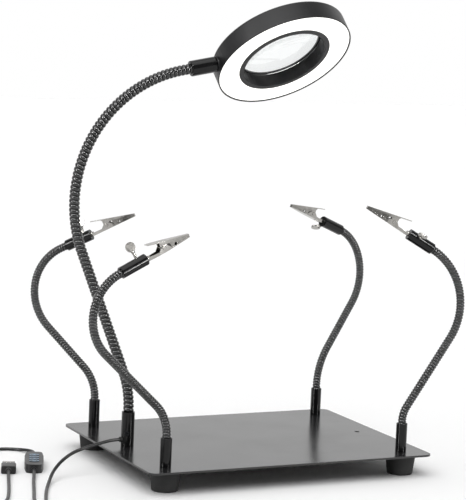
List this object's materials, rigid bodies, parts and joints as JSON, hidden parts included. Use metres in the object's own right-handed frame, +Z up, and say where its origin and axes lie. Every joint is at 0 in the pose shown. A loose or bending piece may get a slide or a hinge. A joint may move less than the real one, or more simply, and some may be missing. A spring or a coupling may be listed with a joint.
{
  "type": "soldering helping hands",
  "caption": "Steel base plate on rubber feet with gooseneck arms that end in sprung toothed clips, and a gooseneck ring lamp with a magnifying lens, in-line controller and plug-ended cord.",
  "frame": {"origin": "centre of the base plate, on its top face", "axes": "+Z up out of the plate, +X along its long side away from the lamp post, +Y towards the back"},
  "size_m": [0.4968, 0.3266, 0.4561],
  "materials": {
    "plate": "satin black powder coat",
    "post": "gloss black",
    "gooseneck": "semi-gloss black, ribbed",
    "foot": "matt black",
    "screw": "zinc plated",
    "grub": "black oxide",
    "nickel": "bright nickel plate",
    "spring": "bright wire",
    "lamp_shell": "satin black",
    "diffuser": "translucent white",
    "board": "white solder mask",
    "lens": "clear, polished",
    "cord": "satin black sheath",
    "control_shell": "fine black texture",
    "button": "satin, pale outline"
  },
  "bodies": {
    "base": {"base_plate": "plate", "rubber_feet": "foot", "foot_screws": "screw", "arm_posts": "post", "lamp_post": "post", "lamp_post_screw": "screw", "lamp_grub_screw": "grub", "cord_bush": "cord", "neck_roots": "gooseneck", "controller_base": "control_shell", "controller_top": "control_shell", "plug_body": "cord", "plug_shell": "nickel", "cord_to_coil": "cord", "cord_to_controller": "cord", "cord_to_plug": "cord", "cord_coil": "cord"},
    "rear_left_lower": {"rear_left_neck_lower": "gooseneck"},
    "rear_left_upper": {"rear_left_neck_upper": "gooseneck"},
    "rear_left_holder": {"rear_left_clip_holder": "post"},
    "rear_left_clip": {"rear_left_lower_jaw": "nickel", "rear_left_jaw_pin": "nickel", "rear_left_jaw_spring": "spring"},
    "rear_left_lever": {"rear_left_upper_jaw": "nickel"},
    "rear_left_screw": {"rear_left_thumb_screw": "nickel"},
    "front_left_lower": {"front_left_neck_lower": "gooseneck"},
    "front_left_upper": {"front_left_neck_upper": "gooseneck"},
    "front_left_holder": {"front_left_clip_holder": "post"},
    "front_left_clip": {"front_left_lower_jaw": "nickel", "front_left_jaw_pin": "nickel", "front_left_jaw_spring": "spring"},
    "front_left_lever": {"front_left_upper_jaw": "nickel"},
    "front_left_screw": {"front_left_thumb_screw": "nickel"},
    "rear_right_lower": {"rear_right_neck_lower": "gooseneck"},
    "rear_right_upper": {"rear_right_neck_upper": "gooseneck"},
    "rear_right_holder": {"rear_right_clip_holder": "post"},
    "rear_right_clip": {"rear_right_lower_jaw": "nickel", "rear_right_jaw_pin": "nickel", "rear_right_jaw_spring": "spring"},
    "rear_right_lever": {"rear_right_upper_jaw": "nickel"},
    "rear_right_screw": {"rear_right_thumb_screw": "nickel"},
    "front_right_lower": {"front_right_neck_lower": "gooseneck"},
    "front_right_upper": {"front_right_neck_upper": "gooseneck"},
    "front_right_holder": {"front_right_clip_holder": "post"},
    "front_right_clip": {"front_right_lower_jaw": "nickel", "front_right_jaw_pin": "nickel", "front_right_jaw_spring": "spring"},
    "front_right_lever": {"front_right_upper_jaw": "nickel"},
    "front_right_screw": {"front_right_thumb_screw": "nickel"},
    "lamp_lower": {"lamp_neck_lower": "gooseneck"},
    "lamp_upper": {"lamp_neck_upper": "gooseneck"},
    "lamp_holder": {"lamp_holder": "post"},
    "lamp_head": {"lamp_housing": "lamp_shell", "lamp_diffuser": "diffuser", "led_board": "board", "magnifier_lens": "lens"},
    "button_1": {"button_1": "button"},
    "button_2": {"button_2": "button"},
    "button_3": {"button_3": "button"},
    "button_4": {"button_4": "button"}
  },
  "joints": [
    {"name": "rear_left_base_bend", "type": "hinge", "parent": "base", "child": "rear_left_lower", "pos_m": [-0.12622, 0.09019, 0.03499], "axis": [0.6561, 0.7547, 0], "range_deg": [-45, 45]},
    {"name": "rear_left_side_bend", "type": "hinge", "parent": "rear_left_lower", "child": "rear_left_upper", "pos_m": [-0.15984, 0.11942, 0.09081], "axis": [-0.5214, 0.4533, -0.723], "range_deg": [-45, 45]},
    {"name": "rear_left_tip_bend", "type": "hinge", "parent": "rear_left_upper", "child": "rear_left_holder", "pos_m": [-0.15475, 0.115, 0.17956], "axis": [0.6561, 0.7547, 0], "range_deg": [-50, 50]},
    {"name": "rear_left_clip_turn", "type": "hinge", "parent": "rear_left_holder", "child": "rear_left_clip", "pos_m": [-0.13299, 0.09607, 0.19432], "axis": [0.6719, -0.584, 0.4555], "continuous": true},
    {"name": "rear_left_jaw", "type": "hinge", "parent": "rear_left_clip", "child": "rear_left_lever", "pos_m": [-0.12024, 0.08499, 0.20521], "axis": [-0.6561, -0.7547, 0], "range_deg": [0, 20], "stiffness_Nm_per_rad": 0.1, "springref_deg": -28.65},
    {"name": "rear_left_screw_turn", "type": "hinge", "parent": "rear_left_holder", "child": "rear_left_screw", "pos_m": [-0.13918, 0.10347, 0.19538], "axis": [-0.1497, 0.4953, 0.8557], "range_deg": [-450, 0]},
    {"name": "front_left_base_bend", "type": "hinge", "parent": "base", "child": "front_left_lower", "pos_m": [-0.12631, -0.09005, 0.03499], "axis": [-0.1564, 0.9877, 0], "range_deg": [-45, 45]},
    {"name": "front_left_side_bend", "type": "hinge", "parent": "front_left_lower", "child": "front_left_upper", "pos_m": [-0.17163, -0.09723, 0.08965], "axis": [-0.666, -0.1055, -0.7385], "range_deg": [-45, 45]},
    {"name": "front_left_tip_bend", "type": "hinge", "parent": "front_left_upper", "child": "front_left_holder", "pos_m": [-0.18476, -0.09931, 0.1824], "axis": [-0.1564, 0.9877, 0], "range_deg": [-50, 50]},
    {"name": "front_left_clip_turn", "type": "hinge", "parent": "front_left_holder", "child": "front_left_clip", "pos_m": [-0.1556, -0.09469, 0.19574], "axis": [0.9009, 0.1427, 0.4099], "continuous": true},
    {"name": "front_left_jaw", "type": "hinge", "parent": "front_left_clip", "child": "front_left_lever", "pos_m": [-0.13839, -0.09196, 0.20577], "axis": [0.1564, -0.9877, 0], "range_deg": [0, 20], "stiffness_Nm_per_rad": 0.1, "springref_deg": -28.65},
    {"name": "front_left_screw_turn", "type": "hinge", "parent": "front_left_holder", "child": "front_left_screw", "pos_m": [-0.16519, -0.09449, 0.19723], "axis": [-0.4334, 0.2442, 0.8675], "range_deg": [-450, 0]},
    {"name": "rear_right_base_bend", "type": "hinge", "parent": "base", "child": "rear_right_lower", "pos_m": [0.12614, 0.09004, 0.035], "axis": [-0.284, 0.9588, 0], "range_deg": [-45, 45]},
    {"name": "rear_right_side_bend", "type": "hinge", "parent": "rear_right_lower", "child": "rear_right_upper", "pos_m": [0.15841, 0.0996, 0.09838], "axis": [0.7717, 0.2286, -0.5934], "range_deg": [-45, 45]},
    {"name": "rear_right_tip_bend", "type": "hinge", "parent": "rear_right_upper", "child": "rear_right_holder", "pos_m": [0.15275, 0.09792, 0.19364], "axis": [-0.284, 0.9588, 0], "range_deg": [-50, 50]},
    {"name": "rear_right_clip_turn", "type": "hinge", "parent": "rear_right_holder", "child": "rear_right_clip", "pos_m": [0.12388, 0.08937, 0.20559], "axis": [-0.8927, -0.2644, 0.3649], "continuous": true},
    {"name": "rear_right_jaw", "type": "hinge", "parent": "rear_right_clip", "child": "rear_right_lever", "pos_m": [0.10673, 0.08429, 0.21475], "axis": [-0.284, 0.9588, 0], "range_deg": [0, 20], "stiffness_Nm_per_rad": 0.1, "springref_deg": -28.65},
    {"name": "rear_right_screw_turn", "type": "hinge", "parent": "rear_right_holder", "child": "rear_right_screw", "pos_m": [0.1289, 0.09625, 0.20092], "axis": [-0.3865, 0.8656, -0.3184], "range_deg": [-450, 0]},
    {"name": "front_right_base_bend", "type": "hinge", "parent": "base", "child": "front_right_lower", "pos_m": [0.12642, -0.09011, 0.03497], "axis": [0.247, 0.969, 0], "range_deg": [-45, 45]},
    {"name": "front_right_side_bend", "type": "hinge", "parent": "front_right_lower", "child": "front_right_upper", "pos_m": [0.1607, -0.09884, 0.09861], "axis": [0.8349, -0.2128, -0.5075], "range_deg": [-45, 45]},
    {"name": "front_right_tip_bend", "type": "hinge", "parent": "front_right_upper", "child": "front_right_holder", "pos_m": [0.14983, -0.09607, 0.19802], "axis": [0.247, 0.969, 0], "range_deg": [-50, 50]},
    {"name": "front_right_clip_turn", "type": "hinge", "parent": "front_right_holder", "child": "front_right_clip", "pos_m": [0.12281, -0.08919, 0.21452], "axis": [-0.8358, 0.213, 0.506], "continuous": true},
    {"name": "front_right_jaw", "type": "hinge", "parent": "front_right_clip", "child": "front_right_lever", "pos_m": [0.10708, -0.08518, 0.22636], "axis": [0.247, 0.969, 0], "range_deg": [0, 20], "stiffness_Nm_per_rad": 0.1, "springref_deg": -28.65},
    {"name": "front_right_screw_turn", "type": "hinge", "parent": "front_right_holder", "child": "front_right_screw", "pos_m": [0.12904, -0.09617, 0.21193], "axis": [-0.0834, -0.9602, 0.2665], "range_deg": [-450, 0]},
    {"name": "lamp_base_bend", "type": "hinge", "parent": "base", "child": "lamp_lower", "pos_m": [-0.12713, 0.00001, 0.043], "axis": [0.0593, 0.9982, 0], "range_deg": [-30, 30]},
    {"name": "lamp_side_bend", "type": "hinge", "parent": "lamp_lower", "child": "lamp_upper", "pos_m": [-0.18501, 0.00345, 0.20865], "axis": [-0.9733, 0.0578, -0.222], "range_deg": [-35, 35]},
    {"name": "lamp_tip_bend", "type": "hinge", "parent": "lamp_upper", "child": "lamp_holder", "pos_m": [-0.08228, -0.00266, 0.36427], "axis": [0.0593, 0.9982, 0], "range_deg": [-45, 45]},
    {"name": "lamp_head_turn", "type": "hinge", "parent": "lamp_holder", "child": "lamp_head", "pos_m": [-0.05143, -0.00449, 0.37033], "axis": [0.9796, -0.0582, 0.1925], "range_deg": [-90, 90]},
    {"name": "button_1_press", "type": "slide", "parent": "base", "child": "button_1", "axis": [0, 0, -1], "range_m": [0, 0.0004], "stiffness_N_per_m": 1500, "springref_m": -0.0002},
    {"name": "button_2_press", "type": "slide", "parent": "base", "child": "button_2", "axis": [0, 0, -1], "range_m": [0, 0.0004], "stiffness_N_per_m": 1500, "springref_m": -0.0002},
    {"name": "button_3_press", "type": "slide", "parent": "base", "child": "button_3", "axis": [0, 0, -1], "range_m": [0, 0.0004], "stiffness_N_per_m": 1500, "springref_m": -0.0002},
    {"name": "button_4_press", "type": "slide", "parent": "base", "child": "button_4", "axis": [0, 0, -1], "range_m": [0, 0.0004], "stiffness_N_per_m": 1500, "springref_m": -0.0002}
  ]
}
